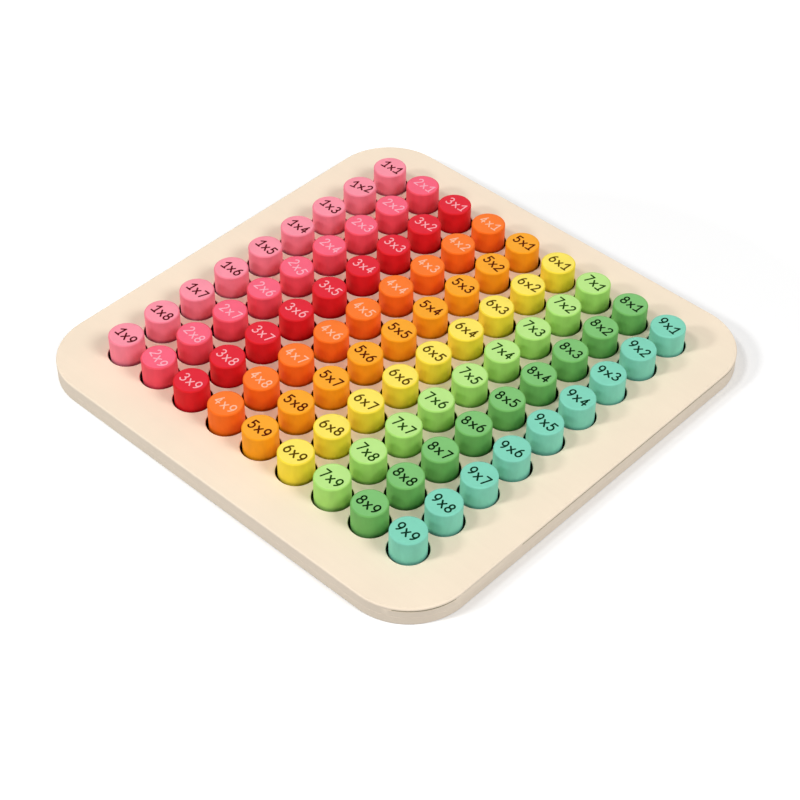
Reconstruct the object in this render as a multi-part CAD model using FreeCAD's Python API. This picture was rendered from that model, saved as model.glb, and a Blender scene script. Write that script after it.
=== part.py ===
import FreeCAD, Part
import math
import os
from FreeCAD import Vector

# Multiplication bead board: 81 loose turned beads in nine colours stand in a grid of holes in
# a square wooden board made of two glued layers. Millimetres. The origin is the middle of the
# underside. The first number of a sum grows along +X, the second along -Y, and +Z is up.

# Beads, one colour for each first number
bead_colours = [
    "light_pink",
    "rose",
    "red",
    "orange",
    "amber",
    "yellow",
    "light_green",
    "green",
    "mint",
]
beads_per_colour = 9
bead_diameter = 15.0
bead_height = 15.2
bead_rim_bevel = 0.4

# Holes
bead_clearance = 1.0
web_between_holes = 3.1
hole_rim_bevel = 0.3

# Board
board_rim_width = 21.1
corner_radius = 28.0
hole_board_thickness = 4.7
base_board_thickness = 4.0
top_arris_radius = 0.7
bottom_arris_radius = 0.6
joint_bevel = 0.2

# Fine shadow line in the edge under the rounded top arris. It is deepest round the front
# corner, at +X and -Y, and runs out where it meets the front side and the far right corner.
shadow_line_drop = 1.2
shadow_line_width = 0.5
shadow_line_depth = 0.6
shadow_line_direction = -30.0

# Sizes that follow
bead_radius = bead_diameter / 2
hole_radius = bead_radius + bead_clearance
grid_spacing = 2 * hole_radius + web_between_holes
grid_length = (len(bead_colours) - 1) * grid_spacing
grid_width = (beads_per_colour - 1) * grid_spacing
board_length = grid_length + 2 * (hole_radius + board_rim_width)
board_width = grid_width + 2 * (hole_radius + board_rim_width)
board_top = base_board_thickness + hole_board_thickness
shadow_line_spread = 1.1 * shadow_line_depth


def seat_centre(column, row):
    """Middle of a hole's floor, on top of the base board. Column and row count from 0."""
    x = column * grid_spacing - grid_length / 2
    y = grid_width / 2 - row * grid_spacing
    return Vector(x, y, base_board_thickness)


def rounded_slab(low, thickness, outset=0.0):
    """Slab with four rounded corners, standing out from the board's edge by an outset."""
    length = board_length + 2 * outset
    width = board_width + 2 * outset
    slab = Part.makeBox(length, width, thickness, Vector(-length / 2, -width / 2, low))
    upright = [edge for edge in slab.Edges if edge.BoundBox.ZLength > thickness / 2]
    return slab.makeFillet(corner_radius + outset, upright)


def flat_edges(solid, highest, closed):
    """Edges of a solid's top or bottom face: hole rims are closed, the outline's are open."""
    if highest:
        face = max(solid.Faces, key=lambda face: face.CenterOfMass.z)
    else:
        face = min(solid.Faces, key=lambda face: face.CenterOfMass.z)
    return [edge for edge in face.Edges if edge.isClosed() == closed]


def shadow_line_cutter():
    """Ring that leaves the line: its inside is the outline, widened and moved off that corner."""
    low = board_top - shadow_line_drop - shadow_line_width / 2
    outside = rounded_slab(low, shadow_line_width, shadow_line_depth)
    inside = rounded_slab(low, shadow_line_width, shadow_line_spread)
    angle = math.radians(shadow_line_direction)
    towards_corner = Vector(math.cos(angle), math.sin(angle), 0)
    inside.translate(towards_corner * -(shadow_line_depth + shadow_line_spread))
    return outside.cut(inside)


def make_hole_board():
    """Upper layer: bored right through, its hole rims bevelled and its top arris rounded."""
    board = rounded_slab(base_board_thickness, hole_board_thickness)
    board = board.makeFillet(top_arris_radius, flat_edges(board, True, False))
    board = board.makeChamfer(joint_bevel, flat_edges(board, False, False))
    board = board.cut(shadow_line_cutter())
    bores = []
    for column in range(len(bead_colours)):
        for row in range(beads_per_colour):
            bores.append(Part.makeCylinder(hole_radius, hole_board_thickness, seat_centre(column, row)))
    board = board.cut(Part.makeCompound(bores))
    return board.makeChamfer(hole_rim_bevel, flat_edges(board, True, True))


def make_base_board():
    """Lower layer: a plain slab that the beads stand on, its bottom arris rounded."""
    board = rounded_slab(0.0, base_board_thickness)
    board = board.makeChamfer(joint_bevel, flat_edges(board, True, False))
    return board.makeFillet(bottom_arris_radius, flat_edges(board, False, False))


def make_bead(foot):
    """One turned bead that stands on its foot point, with both rims bevelled alike."""
    flat = bead_radius - bead_rim_bevel
    profile = Part.makePolygon([
        Vector(0, 0, 0),
        Vector(flat, 0, 0),
        Vector(bead_radius, 0, bead_rim_bevel),
        Vector(bead_radius, 0, bead_height - bead_rim_bevel),
        Vector(flat, 0, bead_height),
        Vector(0, 0, bead_height),
        Vector(0, 0, 0),
    ])
    bead = Part.Face(profile).revolve(Vector(0, 0, 0), Vector(0, 0, 1), 360)
    bead.translate(foot)
    return bead


def make_colour_set(column):
    """The beads of one colour, standing in their holes on the base board."""
    beads = [make_bead(seat_centre(column, row)) for row in range(beads_per_colour)]
    return Part.makeCompound(beads)


os.makedirs("parts", exist_ok=True)
make_hole_board().exportStep("parts/hole_board.step")
make_base_board().exportStep("parts/base_board.step")
for column, colour in enumerate(bead_colours):
    make_colour_set(column).exportStep("parts/" + colour + "_beads.step")
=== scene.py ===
import math
import random

import bmesh
import bpy
from mathutils import Matrix, Vector


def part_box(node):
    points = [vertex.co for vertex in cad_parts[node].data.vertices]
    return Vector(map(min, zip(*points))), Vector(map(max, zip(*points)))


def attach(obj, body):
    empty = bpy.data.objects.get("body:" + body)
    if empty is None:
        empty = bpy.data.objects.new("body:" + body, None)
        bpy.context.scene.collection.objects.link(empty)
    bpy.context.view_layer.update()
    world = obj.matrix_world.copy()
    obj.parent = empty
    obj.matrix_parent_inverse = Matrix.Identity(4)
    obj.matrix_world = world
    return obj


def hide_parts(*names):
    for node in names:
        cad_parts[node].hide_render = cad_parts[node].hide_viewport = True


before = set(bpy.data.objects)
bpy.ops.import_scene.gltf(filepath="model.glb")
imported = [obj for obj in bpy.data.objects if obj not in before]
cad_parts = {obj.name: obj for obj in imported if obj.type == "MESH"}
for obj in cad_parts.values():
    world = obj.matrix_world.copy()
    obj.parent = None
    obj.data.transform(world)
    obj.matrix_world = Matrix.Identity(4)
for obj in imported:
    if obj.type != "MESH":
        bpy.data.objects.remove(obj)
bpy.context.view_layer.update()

# The base board: the plain lower layer, a rounded square of thin board, sawn and sanded.
# It is glued flush under the hole board and painted cream with it. Every bead stands on it,
# and its upper side, seen only down the holes, is coloured almost black as painted shade.
mm = 0.001
board_corner = 28.0 * mm
base_arris = 0.6 * mm
glue_joint_bevel = 0.06 * mm
shading_band = 0.3 * mm
sharpest_soft_edge = math.radians(40)
base_low, base_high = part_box("base_board")
board_half = base_high.x
cream = (0.912, 0.770, 0.602)
# Almost black: painted shade for the faces seen only down the holes
painted_hole_shade = (0.014, 0.009, 0.006)
painted, painted_shade = 0, 1
# How fine the finishes are, in waves to the metre, how far their colour and their dullness
# spread, and how deep their skin is
pattern_edges = (0.3, 0.7)
board_clouds = 38.0
board_grain = (14.0, 420.0, 420.0)
grain_in_clouds = 0.08
board_spread = (0.975, 1.015)
board_dullness = (0.42, 0.56)
board_shine = 0.35
roller_skin = 1400.0
roller_skin_depth = 0.03 * mm
roller_skin_strength = 0.25
painted_shade_mottle = 900.0
painted_shade_spread = (0.5, 1.8)
painted_shade_relief_depth = 0.1 * mm
painted_shade_relief_strength = 0.6
painted_shade_dullness = 0.9
painted_shade_shine = 0.1


def board_outline():
    """Places round the board's edge, each with the direction that points straight out of it."""
    places = []
    arc_steps, side_steps = 36, 24
    side_length = 2 * (board_half - board_corner)
    for quarter in range(4):
        corner_angle = math.radians(90 * quarter + 45)
        corner = Vector((math.cos(corner_angle), math.sin(corner_angle), 0)) * math.sqrt(2)
        corner = corner * (board_half - board_corner)
        for step in range(arc_steps + 1):
            angle = math.radians(90 * (quarter + step / arc_steps))
            outward = Vector((math.cos(angle), math.sin(angle), 0))
            places.append((corner + outward * board_corner, outward))
        along = Vector((-outward.y, outward.x, 0)) * side_length
        for step in range(1, side_steps):
            places.append((corner + outward * board_corner + along * step / side_steps, outward))
    return places


def rounded_arris(radius, face_height, downwards, arc_steps=6):
    """Steps of a rounded edge, from a flat face round to the upright side, as (inward, height)."""
    steps = []
    for step in range(arc_steps + 1):
        angle = math.radians(90 * step / arc_steps)
        drop = radius * (1 - math.cos(angle))
        height = face_height - drop if downwards else face_height + drop
        steps.append((radius * (1 - math.sin(angle)), height))
    return steps


def run_round(work, places, steps):
    """Carries steps round an outline as a skin. Gives its rings of corners and bands of faces."""
    rings, bands = [], []
    for inward, height in steps:
        ring = []
        for place, outward in places:
            spot = place - outward * (inward(place, outward) if callable(inward) else inward)
            ring.append(work.verts.new((spot.x, spot.y, height)))
        rings.append(ring)
    for upper, lower in zip(rings, rings[1:]):
        band = []
        for here in range(len(places)):
            there = (here + 1) % len(places)
            band.append(work.faces.new((upper[here], lower[here], lower[there], upper[there])))
        bands.append(band)
    return rings, bands


def close_flat(work, rings, finish=painted):
    """Fills the flat face between an outline and the holes in it."""
    rims = []
    for ring in rings:
        for here, corner in enumerate(ring):
            rims.append(work.edges.get((corner, ring[here - 1])))
    filled = bmesh.ops.triangle_fill(work, use_beauty=True, edges=rims)
    for face in filled["geom"]:
        if isinstance(face, bmesh.types.BMFace):
            face.material_index = finish


def make_piece(work, name, finishes):
    """Ends the work on a shape: a named piece with its finishes, smooth where it is rounded."""
    bmesh.ops.recalc_face_normals(work, faces=work.faces)
    mesh = bpy.data.meshes.new(name)
    work.to_mesh(mesh)
    work.free()
    mesh.shade_smooth()
    mesh.set_sharp_from_angle(angle=sharpest_soft_edge)
    for finish in finishes:
        mesh.materials.append(finish)
    piece = bpy.data.objects.new(name, mesh)
    bpy.context.scene.collection.objects.link(piece)
    return piece


def coat_step(tree, kind, inputs, **settings):
    """One step of a finish: a node with its settings, its values and what feeds it."""
    step = tree.nodes.new(kind)
    for setting, value in settings.items():
        setattr(step, setting, value)
    for socket, value in inputs.items():
        if isinstance(value, bpy.types.NodeSocket):
            tree.links.new(value, step.inputs[socket])
        else:
            step.inputs[socket].default_value = value
    return step


def new_coat(name):
    """An empty finish, with its nodes, its surface and the place on the piece in metres."""
    coat = bpy.data.materials.new(name)
    coat.use_nodes = True
    tree = coat.node_tree
    surface = tree.nodes["Principled BSDF"]
    place = coat_step(tree, "ShaderNodeTexCoord", {}).outputs["Object"]
    return coat, tree, surface, place


def shade_of(colour, brightness):
    """A colour made lighter or darker, with its alpha."""
    return tuple(min(1.0, part * brightness) for part in colour) + (1.0,)


def spread_colour(tree, colour, pattern, spread):
    """Paint that runs from a darker to a lighter shade of its colour where a pattern says."""
    ramp = coat_step(tree, "ShaderNodeValToRGB", {"Fac": pattern})
    for stop, edge, brightness in zip(ramp.color_ramp.elements, pattern_edges, spread):
        stop.position = edge
        stop.color = shade_of(colour, brightness)
    return ramp.outputs["Color"]


def uneven_dullness(tree, surface, clouds, dullness):
    """Makes a finish a little duller in some of its clouds than in others."""
    dull = coat_step(
        tree, "ShaderNodeMapRange", {"Value": clouds, "To Min": dullness[0], "To Max": dullness[1]}
    )
    tree.links.new(dull.outputs["Result"], surface.inputs["Roughness"])


def fine_relief(tree, surface, relief, strength, depth):
    """Raises and sinks the surface of a finish very slightly by a pattern."""
    skin = coat_step(
        tree, "ShaderNodeBump", {"Height": relief, "Strength": strength, "Distance": depth}
    )
    tree.links.new(skin.outputs["Normal"], surface.inputs["Normal"])


def board_finish(name, colour):
    """Sanded board, painted or bare: faint clouds, fainter grain and a fine skin."""
    coat, tree, surface, place = new_coat(name)
    clouds = coat_step(
        tree, "ShaderNodeTexNoise", {"Vector": place, "Scale": board_clouds, "Detail": 3.0}
    )
    along = coat_step(tree, "ShaderNodeMapping", {"Vector": place, "Scale": board_grain})
    grain = coat_step(
        tree, "ShaderNodeTexNoise", {"Vector": along.outputs["Vector"], "Scale": 1.0, "Detail": 4.0}
    )
    faint_grain = coat_step(
        tree,
        "ShaderNodeMapRange",
        {
            "Value": grain.outputs["Fac"],
            "From Min": pattern_edges[0],
            "From Max": pattern_edges[1],
            "To Min": -grain_in_clouds,
            "To Max": grain_in_clouds,
        },
    )
    pattern = coat_step(
        tree,
        "ShaderNodeMath",
        {0: clouds.outputs["Fac"], 1: faint_grain.outputs["Result"]},
        operation="ADD",
    )
    painted = spread_colour(tree, colour, pattern.outputs["Value"], board_spread)
    tree.links.new(painted, surface.inputs["Base Color"])
    skin = coat_step(
        tree, "ShaderNodeTexNoise", {"Vector": place, "Scale": roller_skin, "Detail": 2.0}
    )
    uneven_dullness(tree, surface, clouds.outputs["Fac"], board_dullness)
    fine_relief(tree, surface, skin.outputs["Fac"], roller_skin_strength, roller_skin_depth)
    surface.inputs["Specular IOR Level"].default_value = board_shine
    return coat


def painted_shade_wood(name):
    """Painted shade: board coloured almost black, with a fine mottle and relief."""
    coat, tree, surface, place = new_coat(name)
    pores = coat_step(
        tree, "ShaderNodeTexNoise", {"Vector": place, "Scale": painted_shade_mottle, "Detail": 5.0}
    )
    browned = spread_colour(tree, painted_hole_shade, pores.outputs["Fac"], painted_shade_spread)
    tree.links.new(browned, surface.inputs["Base Color"])
    fine_relief(tree, surface, pores.outputs["Fac"], painted_shade_relief_strength, painted_shade_relief_depth)
    surface.inputs["Roughness"].default_value = painted_shade_dullness
    surface.inputs["Specular IOR Level"].default_value = painted_shade_shine
    return coat


board_coat = board_finish("cream board paint", cream)
painted_shade_coat = painted_shade_wood("painted shade in the holes")

base_work = bmesh.new()
base_steps = [
    (glue_joint_bevel, base_high.z),
    (0, base_high.z - glue_joint_bevel),
    (0, base_low.z + base_arris + shading_band),
]
base_steps += reversed(rounded_arris(base_arris, base_low.z, False))
base_steps.append((base_arris + shading_band, base_low.z))
base_rings = run_round(base_work, board_outline(), base_steps)[0]
# The base's upper side shows only down the holes and takes the painted shade
close_flat(base_work, [base_rings[0]], painted_shade)
close_flat(base_work, [base_rings[-1]])
base_board = make_piece(base_work, "base_board_painted", [board_coat, painted_shade_coat])
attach(base_board, "root")
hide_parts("base_board")

# The hole board: the upper layer, bored through with 81 round holes and painted cream. Its top
# arris is rounded, and a fine shadow line of bare board lies under that, round the front corner
# and along the right-hand side. The walls of the holes are coloured almost black, painted shade.
hole_radius = 8.5 * mm
hole_spacing = 20.1 * mm
hole_rim_round = 0.3 * mm
top_arris = 0.7 * mm
shadow_line_drop = 1.2 * mm
shadow_line_width = 0.5 * mm
shadow_line_depth = 0.6 * mm
shadow_line_spread = 2.1 * shadow_line_depth
shadow_line_angle = math.radians(-19)
lip = 0.04 * mm
shortest_edge = lip / 1000
least_bare_depth = 0.1 * mm
# The share of the line's depth that is left at places along Y, in millimetres: the line fades
# past the front corner and comes back along the right-hand side
line_shares = [(-93, 1.0), (-86, 0.06), (-58, 0.06), (-40, 0.35), (-12, 1.0)]
bare_board = (0.460, 0.390, 0.250)
bare = 2
rim_arc_steps = 4
holes_in_row = 9
hole_low, hole_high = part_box("hole_board")
board_top = hole_high.z


def seat_middle(column, row):
    """Middle of a hole. Columns and rows count from 1, as the sums do."""
    half_count = (holes_in_row + 1) / 2
    return Vector(((column - half_count) * hole_spacing, (half_count - row) * hole_spacing, 0))


def hole_outline(middle, around=64):
    """Places round a hole's wall. The direction out of the board points to the hole's middle."""
    places = []
    for step in range(around):
        angle = -2 * math.pi * step / around
        outward = Vector((-math.cos(angle), -math.sin(angle), 0))
        places.append((middle - outward * hole_radius, outward))
    return places


def line_share(place):
    """How much of the line is left at a place on the edge."""
    share = line_shares[0][1]
    for (near, near_share), (far, far_share) in zip(line_shares, line_shares[1:]):
        way = (place.y / mm - near) / (far - near)
        if way > 0:
            share = near_share + (far_share - near_share) * min(1, way)
    return share


def line_depth(place, outward):
    """Depth of the line at a place on the edge. It runs out away from the right-hand side."""
    towards_corner = Vector((math.cos(shadow_line_angle), math.sin(shadow_line_angle), 0))
    reach = (shadow_line_depth + shadow_line_spread) * outward.dot(towards_corner)
    return max(0, reach - shadow_line_spread) * line_share(place)


def lip_depth(place, outward):
    """Depth of the softened lips of the line, which end with it."""
    return min(lip, line_depth(place, outward))


board_work = bmesh.new()
line_top = board_top - shadow_line_drop + shadow_line_width / 2
line_foot = line_top - shadow_line_width
edge_steps = [(top_arris + shading_band, board_top)]
edge_steps += rounded_arris(top_arris, board_top, True)
edge_steps += [
    (0, line_top + lip),
    (lip_depth, line_top),
    (line_depth, line_top),
    (line_depth, line_foot),
    (lip_depth, line_foot),
    (0, line_foot - lip),
    (0, hole_low.z + glue_joint_bevel),
    (glue_joint_bevel, hole_low.z),
]
edge_rings, edge_bands = run_round(board_work, board_outline(), edge_steps)
# The line's upper wall, its bottom and its lower wall show bare board where it is deep enough
upper_wall = edge_steps.index((lip_depth, line_top))
for line_band in edge_bands[upper_wall : upper_wall + 3]:
    for (place, outward), face in zip(board_outline(), line_band):
        if line_depth(place, outward) > least_bare_depth:
            face.material_index = bare
bmesh.ops.dissolve_degenerate(board_work, dist=shortest_edge, edges=board_work.edges)
top_rings = [edge_rings[0]]
under_rings = [edge_rings[-1]]
for column in range(1, holes_in_row + 1):
    for row in range(1, holes_in_row + 1):
        outline = hole_outline(seat_middle(column, row))
        rim_steps = [(hole_rim_round + shading_band, board_top)]
        rim_steps += rounded_arris(hole_rim_round, board_top, True, rim_arc_steps)
        hole_rings, hole_bands = run_round(board_work, outline, rim_steps + [(0, hole_low.z)])
        # The walls of the holes take the painted shade
        for face in hole_bands[-1]:
            face.material_index = painted_shade
        top_rings.append(hole_rings[0])
        under_rings.append(hole_rings[-1])
close_flat(board_work, top_rings)
close_flat(board_work, under_rings, painted_shade)
line_coat = board_finish("bare board in the line", bare_board)
hole_board = make_piece(board_work, "hole_board_painted", [board_coat, painted_shade_coat, line_coat])
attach(hole_board, "root")
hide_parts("hole_board")

# The beads: 81 pegs turned from round rod, sanded, painted satin in one colour for each first
# number, and dropped loose into the holes; their ends are painted paler, a painted sheen. They
# stand on the base board a hair out of the middle of their holes, each turned a little its own way.
bead_radius = 7.5 * mm
bead_rim_round = 0.6 * mm
bead_fall_radius = 6.4 * mm
bead_fall = 0.03 * mm
most_out_of_middle = 0.35 * mm
bead_low, bead_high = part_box("red_beads")
ink_height = 0.03 * mm
ink_step = 0.0025 * mm
most_strokes = 8
bead_end = bead_high.z - ink_height - most_strokes * ink_step
side_shades = {
    "light_pink": (0.950, 0.240, 0.320),
    "rose": (0.900, 0.082, 0.122),
    "red": (0.730, 0.012, 0.018),
    "orange": (0.950, 0.160, 0.010),
    "amber": (0.970, 0.350, 0.010),
    "yellow": (0.970, 0.730, 0.050),
    "light_green": (0.410, 0.750, 0.170),
    "green": (0.175, 0.475, 0.122),
    "mint": (0.225, 0.655, 0.495),
}
# The ends' shades: the same paint painted paler than the sides, a painted sheen
painted_sheen_end_shades = {
    "light_pink": (0.950, 0.300, 0.385),
    "rose": (0.930, 0.133, 0.215),
    "red": (0.750, 0.022, 0.041),
    "orange": (0.950, 0.198, 0.030),
    "amber": (0.950, 0.390, 0.030),
    "yellow": (0.960, 0.780, 0.125),
    "light_green": (0.490, 0.790, 0.250),
    "green": (0.212, 0.530, 0.175),
    "mint": (0.222, 0.650, 0.485),
}
along_fibres = (210.0, 210.0, 70.0)
across_fibres = (160.0, 160.0, 160.0)
printed, painted_sheen_end_face = 1, 2
side_spread = (0.92, 1.06)
end_spread = (0.975, 1.03)
bead_dullness = (0.42, 0.58)
bead_shine = 0.12
bead_skin = 1100.0
bead_skin_depth = 0.04 * mm
bead_skin_strength = 0.3
hand = random.Random(81)


def bead_outline(middle, around=72):
    """Places round a bead's side, with the direction that points straight out of it."""
    places = []
    for step in range(around):
        angle = 2 * math.pi * step / around
        outward = Vector((math.cos(angle), math.sin(angle), 0))
        places.append((middle + outward * bead_radius, outward))
    return places


def turn_bead(work, middle):
    """The peg itself: flat ends that fall a little towards soft rims, and a straight side."""
    inside = bead_radius - bead_fall_radius
    steps = [(inside + shading_band, bead_end), (inside, bead_end)]
    steps += rounded_arris(bead_rim_round, bead_end - bead_fall, True)
    steps.append((0, bead_end - bead_fall - bead_rim_round - shading_band))
    steps.append((0, bead_low.z + bead_rim_round + shading_band))
    steps += reversed(rounded_arris(bead_rim_round, bead_low.z, False))
    steps.append((bead_rim_round + shading_band, bead_low.z))
    rings, bands = run_round(work, bead_outline(middle), steps)
    # The upper end and its rim take the paler paint of the painted sheen
    upper_end = [work.faces.new(rings[0])] + bands[0] + bands[1]
    for face in upper_end:
        face.material_index = painted_sheen_end_face
    work.faces.new(rings[-1])


def bead_paint(name, colour, fibres, spread):
    """Satin paint on turned wood: soft clouds of colour, a fine skin and an uneven shine."""
    coat, tree, surface, place = new_coat(name)
    stretch = coat_step(tree, "ShaderNodeMapping", {"Vector": place, "Scale": fibres})
    clouds = coat_step(
        tree,
        "ShaderNodeTexNoise",
        {"Vector": stretch.outputs["Vector"], "Scale": 1.0, "Detail": 3.0},
    )
    painted = spread_colour(tree, colour, clouds.outputs["Fac"], spread)
    tree.links.new(painted, surface.inputs["Base Color"])
    skin = coat_step(
        tree, "ShaderNodeTexNoise", {"Vector": place, "Scale": bead_skin, "Detail": 3.0}
    )
    fine_relief(tree, surface, skin.outputs["Fac"], bead_skin_strength, bead_skin_depth)
    uneven_dullness(tree, surface, clouds.outputs["Fac"], bead_dullness)
    surface.inputs["Specular IOR Level"].default_value = bead_shine
    return coat


# The sums: one printed on the upper end of each bead as if with a thin round pen, in black ink
# that lets a trace of the paint through, and in a thin pale ink on rose, red and orange. The ink
# stands just proud of the paint, and each print sits a little off the middle of its bead.
black_ink_width = 0.76 * mm
pale_ink_width = 0.58 * mm
ink_root = 0.02 * mm
digit_width = 2.4
digit_height = 4.5
digit_gap = 1.3
# Black ink: the shade of the bead's end, deepened to this power and darkened to this share
ink_depth = 3
ink_strength = 0.11
pale_inks = {
    "rose": (0.98, 0.44, 0.53),
    "red": (0.98, 0.44, 0.48),
    "orange": (0.99, 0.52, 0.35),
}
ink_patches = 1300.0
ink_spread = (0.88, 1.1)
ink_dullness = 0.6
ink_shine = 0.04
bow_degrees_a_step = 12
fewest_bow_steps = 6
stroke_end_steps = 6
# Where a print sits off the middle of its bead, in millimetres, and how far that moves with
# each step of its first and of its second number
print_place = Vector((0.9, 0.9, 0))
move_with_first = Vector((-0.07, -0.06, 0))
move_with_second = Vector((0, -0.14, 0))
# How far each printed sum is turned, in degrees, with a row here for each second number
print_turns = [
    [0, -3, 0, -3, -2, -3, -10, -3, -10],
    [12, 0, 3, -3, -10, 3, -7, -7, -8],
    [-5, 0, -3, 0, -2, -2, -6, -4, 6],
    [0, -3, 3, -3, 1, -1, -2, 1, -3],
    [-5, -18, -1, -4, -1, -5, -9, 3, -6],
    [-1, -4, 4, -2, -8, -2, 1, 5, 5],
    [-4, 0, -2, -1, -2, 0, -3, -1, -5],
    [-3, -8, -2, -6, 2, 6, -9, -3, -5],
    [-5, -22, 0, -1, 0, -1, -3, -1, -2],
]


def pen_run(*corners):
    """A straight run of the pen through the given places, in millimetres."""
    return [Vector((x, y, 0)) for x, y in corners]


def pen_bow(middle, reach, start, end):
    """A curved run of the pen round part of an oval. Angles in degrees, from the right."""
    steps = max(fewest_bow_steps, round(abs(end - start) / bow_degrees_a_step))
    spots = []
    for step in range(steps + 1):
        angle = math.radians(start + (end - start) * step / steps)
        sideways, upwards = reach[0] * math.cos(angle), reach[1] * math.sin(angle)
        spots.append(Vector((middle[0] + sideways, middle[1] + upwards, 0)))
    return spots


pen_strokes = {
    1: [
        pen_run((0.1, 3.1), (1.7, 4.5)),
        pen_run((1.7, 4.5), (1.7, 0)),
        pen_run((0.1, 0), (2.3, 0)),
    ],
    2: [
        pen_bow((1.15, 3.3), (1.05, 1.2), 165, -30) + pen_run((0.1, 0)),
        pen_run((0.1, 0), (2.4, 0)),
    ],
    3: [pen_bow((1.05, 3.4), (1.0, 1.1), 150, -85), pen_bow((1.1, 1.15), (1.2, 1.15), 85, -155)],
    4: [
        pen_run((1.6, 4.5), (0, 1.2)),
        pen_run((0, 1.2), (2.4, 1.2)),
        pen_run((1.6, 3.2), (1.6, 0)),
    ],
    5: [
        pen_run((2.2, 4.5), (0.4, 4.5)),
        pen_run((0.4, 4.5), (0.3, 2.5)),
        pen_bow((1.05, 1.45), (1.2, 1.45), 125, -150),
    ],
    6: [pen_bow((2.2, 1.4), (2.0, 3.1), 105, 170), pen_bow((1.2, 1.4), (1.15, 1.4), 0, 360)],
    7: [pen_run((0.05, 4.4), (2.35, 4.5)), pen_run((2.35, 4.5), (1.0, 0))],
    8: [pen_bow((1.2, 3.4), (0.95, 1.1), 0, 360), pen_bow((1.2, 1.15), (1.15, 1.15), 0, 360)],
    9: [pen_bow((1.15, 3.15), (1.1, 1.35), 0, 360), pen_bow((0.05, 3.2), (2.2, 3.2), 0, -65)],
    "x": [pen_run((0.2, 0.2), (2.2, 3.0)), pen_run((0, 3.1), (2.5, 0))],
}


def end_of_stroke(work, spot, across, last):
    """Rounds off one end of a stroke, from its left corners to its right ones."""
    along = Vector((across.y, -across.x, 0))
    half_turn = math.pi if last else -math.pi
    lows, highs = [], []
    for step in range(stroke_end_steps + 1):
        angle = half_turn * step / stroke_end_steps
        reach = across * math.cos(angle) + along * math.sin(angle)
        lows.append(work.verts.new(spot + reach - Vector((0, 0, ink_root))))
        highs.append(work.verts.new(spot + reach + Vector((0, 0, ink_height))))
    faces = [work.faces.new(lows), work.faces.new(highs)]
    for step in range(stroke_end_steps):
        corners = (lows[step], lows[step + 1], highs[step + 1], highs[step])
        faces.append(work.faces.new(corners))
    return faces


def lay_ink(work, spots, ink_width):
    """One stroke: a thin ribbon of ink along the pen's path, with round ends if it has ends."""
    looped = (spots[0] - spots[-1]).length < ink_step
    if looped:
        spots = spots[:-1]
    low, high = Vector((0, 0, -ink_root)), Vector((0, 0, ink_height))
    rails, faces = [], []
    for here, spot in enumerate(spots):
        before = spots[here - 1] if here or looped else spot
        after = spots[(here + 1) % len(spots)] if here < len(spots) - 1 or looped else spot
        along = (after - before).normalized()
        across = Vector((-along.y, along.x, 0)) * ink_width / 2
        left, right = spot + across, spot - across
        corners = (left + low, left + high, right + high, right + low)
        rails.append([work.verts.new(corner) for corner in corners])
        if not looped and here in (0, len(spots) - 1):
            faces += end_of_stroke(work, spot, across, here > 0)
    ahead = rails[1:] + rails[:1] if looped else rails[1:]
    for near, far in zip(rails, ahead):
        for side in range(4):
            faces.append(work.faces.new((near[side - 1], near[side], far[side], far[side - 1])))
    for face in faces:
        face.material_index = printed


def print_sum(work, first, second, middle, ink_width):
    """Prints one sum on the upper end of a bead, each stroke a hair above the last one."""
    turn = Matrix.Rotation(math.radians(print_turns[second - 1][first - 1]), 3, "Z")
    print_length = 3 * digit_width + 2 * digit_gap
    start = Vector((-print_length / 2, -digit_height / 2, 0))
    off_middle = print_place + move_with_first * first + move_with_second * second
    centre = middle + off_middle * mm + Vector((0, 0, bead_end))
    for sign in (first, "x", second):
        for stroke in pen_strokes[sign]:
            spots = [centre + turn @ ((start + spot) * mm) for spot in stroke]
            lay_ink(work, spots, ink_width)
            centre.z += ink_step
        start.x += digit_width + digit_gap


def ink_coat(name, colour):
    """Printing ink: nearly even, a little thin in places, and duller than the paint."""
    coat, tree, surface, place = new_coat(name)
    thin_places = coat_step(
        tree, "ShaderNodeTexNoise", {"Vector": place, "Scale": ink_patches, "Detail": 2.0}
    )
    inked = spread_colour(tree, colour, thin_places.outputs["Fac"], ink_spread)
    tree.links.new(inked, surface.inputs["Base Color"])
    surface.inputs["Roughness"].default_value = ink_dullness
    surface.inputs["Specular IOR Level"].default_value = ink_shine
    return coat


for first, colour in enumerate(painted_sheen_end_shades, start=1):
    painted_sheen_end_shade = painted_sheen_end_shades[colour]
    paint_name = colour.replace("_", " ")
    side_coat = bead_paint(
        paint_name + " bead paint", side_shades[colour], along_fibres, side_spread
    )
    painted_sheen_end_coat = bead_paint(paint_name + " end paint with painted sheen", painted_sheen_end_shade, across_fibres, end_spread)
    if colour in pale_inks:
        print_coat = ink_coat("pale ink on " + colour, pale_inks[colour])
        ink_width = pale_ink_width
    else:
        dark_shade = [part**ink_depth * ink_strength for part in painted_sheen_end_shade]
        print_coat = ink_coat("black ink on " + colour, dark_shade)
        ink_width = black_ink_width
    for second in range(1, holes_in_row + 1):
        off_middle = Vector((hand.uniform(-1, 1), hand.uniform(-1, 1), 0)) / math.sqrt(2)
        middle = seat_middle(first, second) + off_middle * most_out_of_middle
        bead_work = bmesh.new()
        turn_bead(bead_work, middle)
        print_sum(bead_work, first, second, middle, ink_width)
        finishes = [side_coat, print_coat, painted_sheen_end_coat]
        bead = make_piece(bead_work, f"{colour}_bead_{first}x{second}", finishes)
        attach(bead, "root")
        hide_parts(colour + "_beads")

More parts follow.
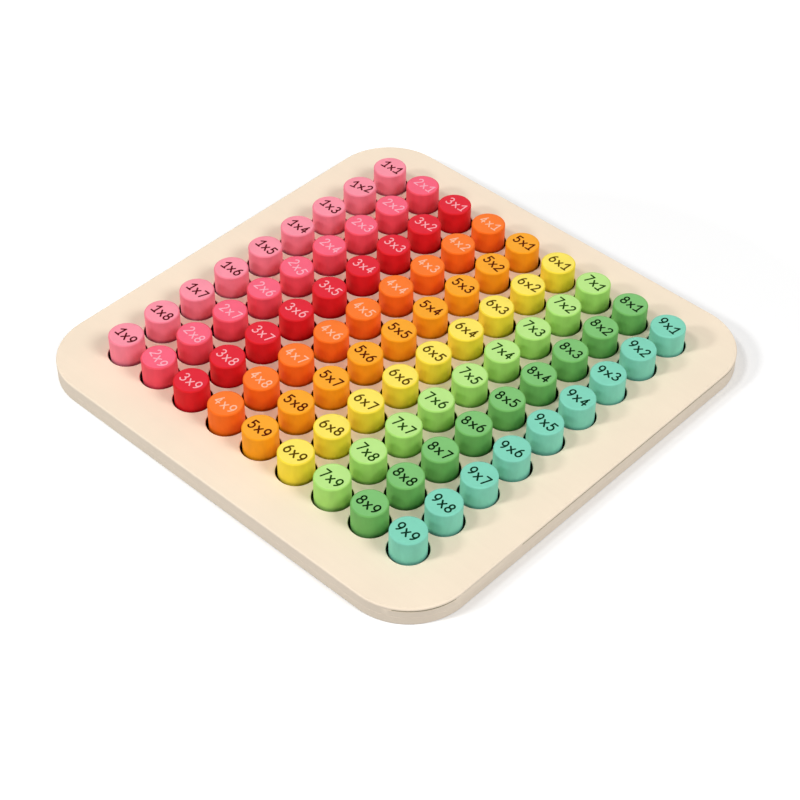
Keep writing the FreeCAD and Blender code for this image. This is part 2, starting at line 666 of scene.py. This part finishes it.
# The table: a wide sheet of white card under the board, lit so evenly that it shows as white,
# with only the board's own soft shadow on it. For the picture alone it glows from a little way
# off the shaded middle, more and more, so that no grey is left farther out.
table_half = 3.0
card_white = (0.48, 0.51, 0.56, 1.0)
card_in_picture = (0.99, 0.99, 0.99, 1.0)
shaded_middle = (0.06, 0.04, 0)
glow_starts = 0.13
glow_full = 0.50
card_glow = 1.0
table_mesh = bpy.data.meshes.new("white_table")
corners = [(-table_half, -table_half, 0), (table_half, -table_half, 0)]
corners += [(table_half, table_half, 0), (-table_half, table_half, 0)]
table_mesh.from_pydata(corners, [], [(0, 1, 2, 3)])
white_table = bpy.data.objects.new("white_table", table_mesh)
bpy.context.scene.collection.objects.link(white_table)
card = bpy.data.materials.new("white card")
card.use_nodes = True
card.node_tree.nodes.clear()
card_tree = card.node_tree
card_bounce = coat_step(card_tree, "ShaderNodeBsdfDiffuse", {"Color": card_white})
card_shown = coat_step(card_tree, "ShaderNodeBsdfDiffuse", {"Color": card_in_picture})
card_place = coat_step(card_tree, "ShaderNodeTexCoord", {})
far_off = coat_step(
    card_tree,
    "ShaderNodeVectorMath",
    {0: card_place.outputs["Object"], 1: shaded_middle},
    operation="DISTANCE",
)
fade = coat_step(
    card_tree,
    "ShaderNodeMapRange",
    {
        "Value": far_off.outputs["Value"],
        "From Min": glow_starts,
        "From Max": glow_full,
        "To Max": card_glow,
    },
)
card_light = coat_step(card_tree, "ShaderNodeEmission", {"Strength": fade.outputs["Result"]})
card_sum = coat_step(
    card_tree,
    "ShaderNodeAddShader",
    {0: card_shown.outputs["BSDF"], 1: card_light.outputs["Emission"]},
)
card_ray = coat_step(card_tree, "ShaderNodeLightPath", {})
card_choice = coat_step(
    card_tree,
    "ShaderNodeMixShader",
    {
        0: card_ray.outputs["Is Camera Ray"],
        1: card_bounce.outputs["BSDF"],
        2: card_sum.outputs["Shader"],
    },
)
coat_step(card_tree, "ShaderNodeOutputMaterial", {"Surface": card_choice.outputs["Shader"]})
table_mesh.materials.append(card)

# The light: a pale room all round, a broad soft lamp at the right of the picture and two at its
# left, one above the other. For each lamp: its power in watts, its width in metres, and the
# angles round the board and above the table from which it shines.
room_white = (1.0, 1.0, 1.0, 1.0)
room_strength = 0.345
strength_seen = 1.0
lamp_distance = 3.0
lamps = {
    "right lamp": (41.0, 1.2, 9, 45),
    "high left lamp": (21.0, 0.6, 238, 58),
    "low left lamp": (26.0, 0.45, 242, 35),
}
room = bpy.data.worlds.new("pale room")
bpy.context.scene.world = room
room.use_nodes = True
room_tree = room.node_tree
room_tree.nodes.clear()
room_dome = coat_step(
    room_tree, "ShaderNodeBackground", {"Color": room_white, "Strength": room_strength}
)
room_seen = coat_step(
    room_tree, "ShaderNodeBackground", {"Color": room_white, "Strength": strength_seen}
)
room_ray = coat_step(room_tree, "ShaderNodeLightPath", {})
seen_or_mirrored = coat_step(
    room_tree,
    "ShaderNodeMath",
    {0: room_ray.outputs["Is Camera Ray"], 1: room_ray.outputs["Is Glossy Ray"]},
    operation="ADD",
)
seen_at_all = coat_step(
    room_tree,
    "ShaderNodeMath",
    {0: seen_or_mirrored.outputs["Value"], 1: room_ray.outputs["Is Transmission Ray"]},
    operation="ADD",
    use_clamp=True,
)
room_choice = coat_step(
    room_tree,
    "ShaderNodeMixShader",
    {
        0: seen_at_all.outputs["Value"],
        1: room_dome.outputs["Background"],
        2: room_seen.outputs["Background"],
    },
)
coat_step(room_tree, "ShaderNodeOutputWorld", {"Surface": room_choice.outputs["Shader"]})
for name, (power, width, turn, rise) in lamps.items():
    lamp_data = bpy.data.lights.new(name, "AREA")
    lamp_data.shape = "DISK"
    lamp_data.size = width
    lamp_data.energy = power
    level = math.cos(math.radians(rise))
    lamp_from = Vector((
        math.cos(math.radians(turn)) * level,
        math.sin(math.radians(turn)) * level,
        math.sin(math.radians(rise)),
    ))
    lamp = bpy.data.objects.new(name, lamp_data)
    lamp.location = lamp_from * lamp_distance
    lamp.rotation_euler = lamp_from.to_track_quat("Z", "Y").to_euler()
    bpy.context.scene.collection.objects.link(lamp)

# The camera: a long lens over the front corner of the board, as in the photograph, its lens
# set for a picture 800 pixels wide.
camera_turn = math.radians(42.57)
camera_rise = math.radians(43.54)
camera_roll = math.radians(0.68)
camera_distance = 799.8 * mm
camera_aim = Vector((16.01, -15.85, 0)) * mm
picture_width = 800
focal_length_in_pixels = 1915
sensor_width = 36.0
nearest_seen = 10 * mm
back = Vector((
    math.sin(camera_turn) * math.cos(camera_rise),
    -math.cos(camera_turn) * math.cos(camera_rise),
    math.sin(camera_rise),
))
right = Vector((0, 0, 1)).cross(back).normalized()
up = back.cross(right)
rolled_right = right * math.cos(camera_roll) + up * math.sin(camera_roll)
rolled_up = up * math.cos(camera_roll) - right * math.sin(camera_roll)
camera_data = bpy.data.cameras.new("camera")
camera_data.sensor_width = sensor_width
camera_data.lens = sensor_width * focal_length_in_pixels / picture_width
camera_data.clip_start = nearest_seen
camera = bpy.data.objects.new("camera", camera_data)
axes = Matrix((rolled_right, rolled_up, back)).transposed()
camera.matrix_world = Matrix.Translation(camera_aim + back * camera_distance) @ axes.to_4x4()
bpy.context.scene.collection.objects.link(camera)
bpy.context.scene.camera = camera
bpy.context.scene.view_settings.view_transform = "Standard"
